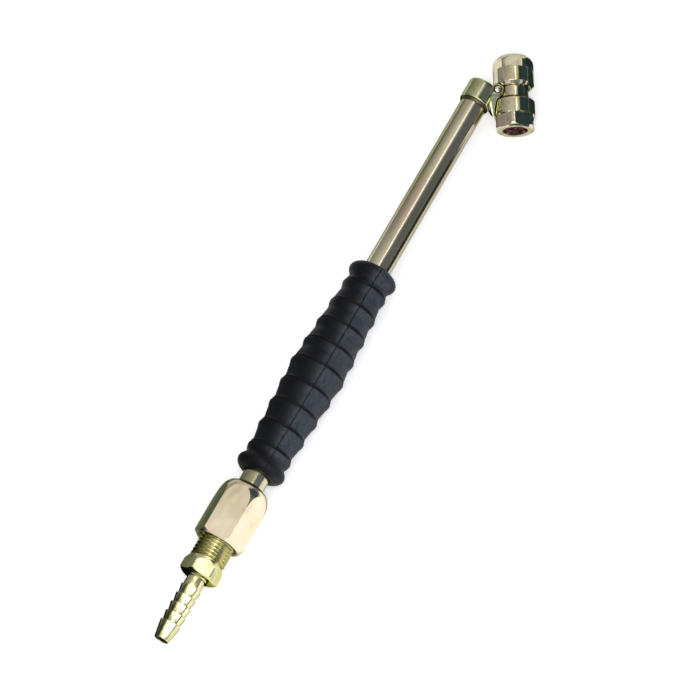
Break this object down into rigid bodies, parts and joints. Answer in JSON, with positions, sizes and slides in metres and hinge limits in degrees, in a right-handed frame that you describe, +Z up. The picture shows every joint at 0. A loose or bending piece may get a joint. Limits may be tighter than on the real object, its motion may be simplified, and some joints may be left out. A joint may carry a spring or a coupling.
{
  "type": "tyre inflator handpiece",
  "caption": "Air-line handpiece for tyres: barbed hose tail, long hexagon coupling, plated tube in a ribbed rubber grip, and an angled head with an air chuck at each end.",
  "frame": {"origin": "bottom centre of the handpiece's box, on the floor that it lies on", "axes": "+X along the tube from the hose tail towards the head, +Z up from the floor; the head hangs to the -Y side"},
  "size_m": [0.2596, 0.0336, 0.0211],
  "materials": {
    "zinc_plate": "steel with glossy yellow-passivated zinc",
    "tail_plate": "turned steel with deep yellow-passivated zinc",
    "grip_rubber": "matte moulded rubber",
    "seal_rubber": "plain nitrile rubber",
    "brass": "turned or flowed brass",
    "spring_steel": "drawn wire"
  },
  "bodies": {
    "handpiece": {"hose_barb": "tail_plate", "barb_seal_washer": "seal_rubber", "inlet_coupling": "zinc_plate", "coupling_braze_ring": "brass", "main_tube": "zinc_plate", "rubber_grip": "grip_rubber", "tube_socket": "zinc_plate", "socket_braze_ring": "brass", "passage_plug": "zinc_plate", "head_body": "zinc_plate", "upper_foot_cap": "zinc_plate", "lower_foot_cap": "zinc_plate", "upper_foot_gasket": "seal_rubber", "lower_foot_gasket": "seal_rubber", "upper_return_spring": "spring_steel", "lower_return_spring": "spring_steel"},
    "upper_plunger": {"upper_depressor_pin": "brass", "upper_valve_disc": "brass"},
    "lower_plunger": {"lower_depressor_pin": "brass", "lower_valve_disc": "brass"}
  },
  "joints": [
    {"name": "upper_depressor_slide", "type": "slide", "parent": "handpiece", "child": "upper_plunger", "axis": [-0.8624, -0.4725, -0.1819], "range_m": [0, 0.0014], "stiffness_N_per_m": 500, "springref_m": -0.0006, "deforming": ["upper_return_spring"]},
    {"name": "lower_depressor_slide", "type": "slide", "parent": "handpiece", "child": "lower_plunger", "axis": [0.8624, 0.4725, 0.1819], "range_m": [0, 0.0014], "stiffness_N_per_m": 500, "springref_m": -0.0006, "deforming": ["lower_return_spring"]}
  ]
}
